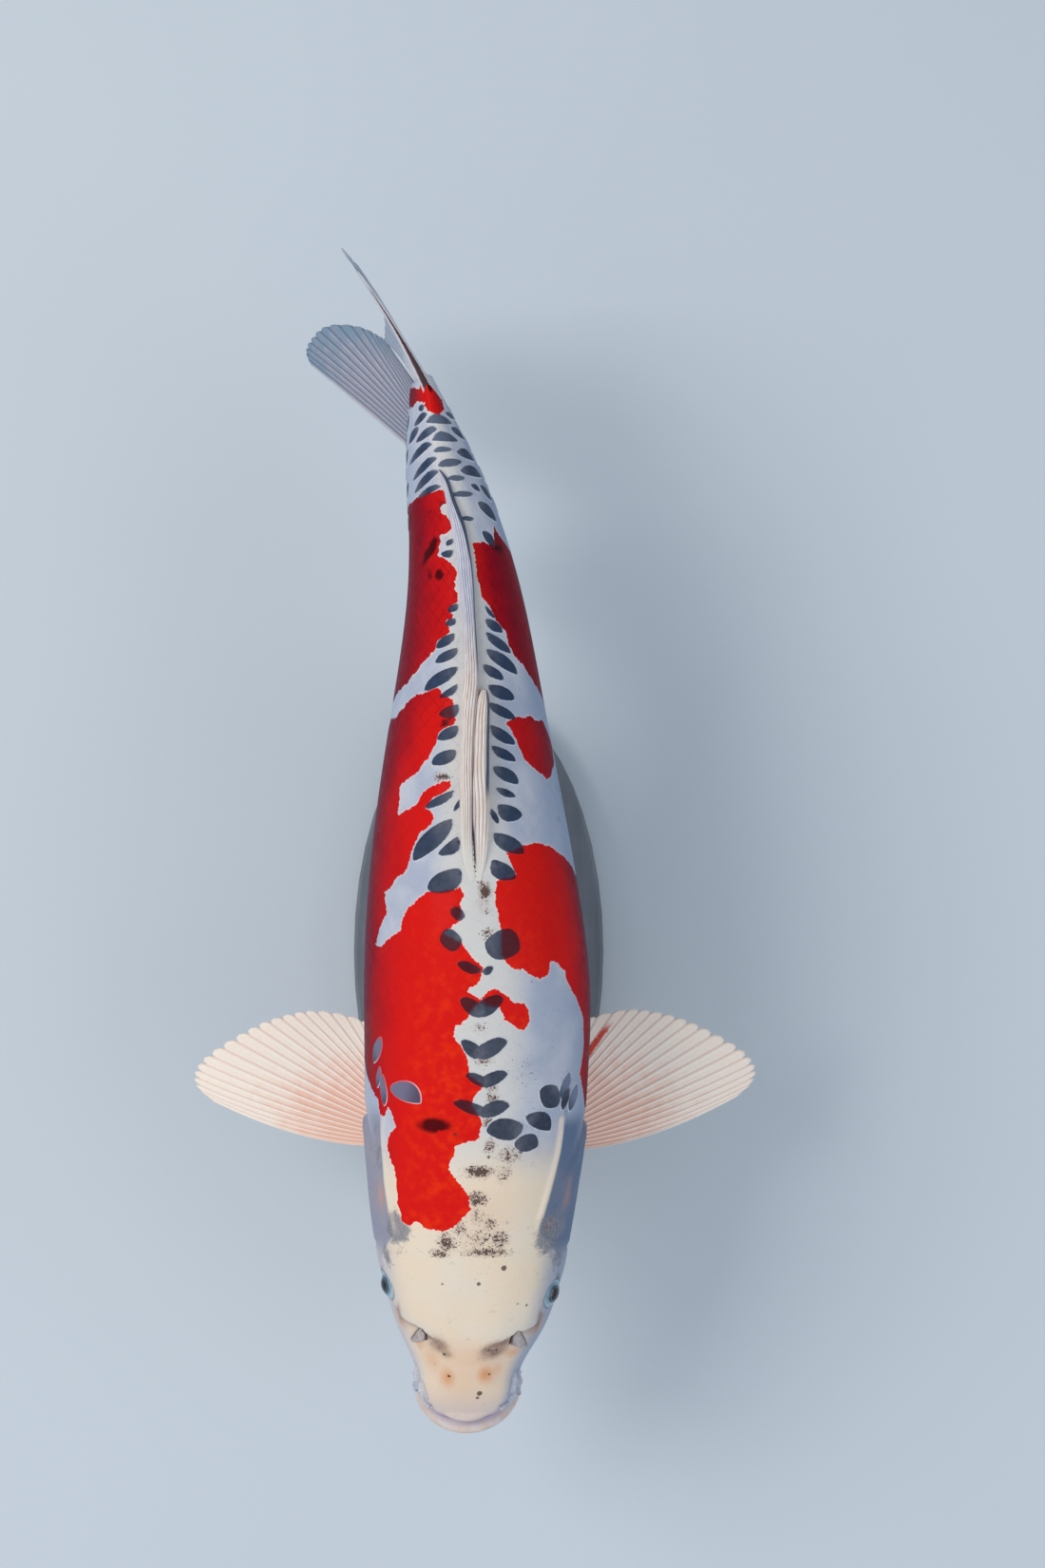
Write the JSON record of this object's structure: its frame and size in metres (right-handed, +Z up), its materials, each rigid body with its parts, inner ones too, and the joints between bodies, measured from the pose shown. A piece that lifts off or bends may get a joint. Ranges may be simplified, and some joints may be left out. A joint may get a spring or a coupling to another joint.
{
  "type": "koi carp model on a display stand",
  "caption": "Life-size still model of a koi carp swimming with spread side fins and a bent tail, held on rods above a flat oval base.",
  "frame": {"origin": "centre of the underside of the stand's base", "axes": "+Z up; the fish looks along -Y, its left side is at +X, and its tail points to +Y and bends towards -X"},
  "size_m": [0.3172, 0.6388, 0.2555],
  "materials": {
    "head_skin": "wet ivory skin with an orange-red patch and fine grey speckles",
    "body_skin": "wet white skin with orange-red patches and rows of slate-grey mirror scales",
    "fin_web": "peach to whitish web between pale rays",
    "eye": "black pupil in a dark iris with a pale rim",
    "stand_base": "satin slate grey",
    "stand_rod": "brushed steel"
  },
  "bodies": {
    "root": {"head": "head_skin", "lower_jaw": "head_skin", "upper_lip": "head_skin", "gill_cover_left": "head_skin", "gill_cover_right": "head_skin", "barbel_corner_left": "head_skin", "barbel_corner_right": "head_skin", "barbel_front_left": "head_skin", "barbel_front_right": "head_skin", "eye_left": "eye", "eye_right": "eye", "trunk_front": "body_skin", "trunk_middle": "body_skin", "trunk_rear": "body_skin", "tail_stem": "body_skin", "dorsal_fin": "fin_web", "pectoral_fin_left": "fin_web", "pectoral_fin_right": "fin_web", "pelvic_fin_left": "fin_web", "pelvic_fin_right": "fin_web", "anal_fin": "fin_web", "caudal_fin_upper": "fin_web", "caudal_fin_lower": "fin_web", "stand_base": "stand_base", "stand_rod_front": "stand_rod", "stand_rod_rear": "stand_rod"}
  },
  "joints": []
}
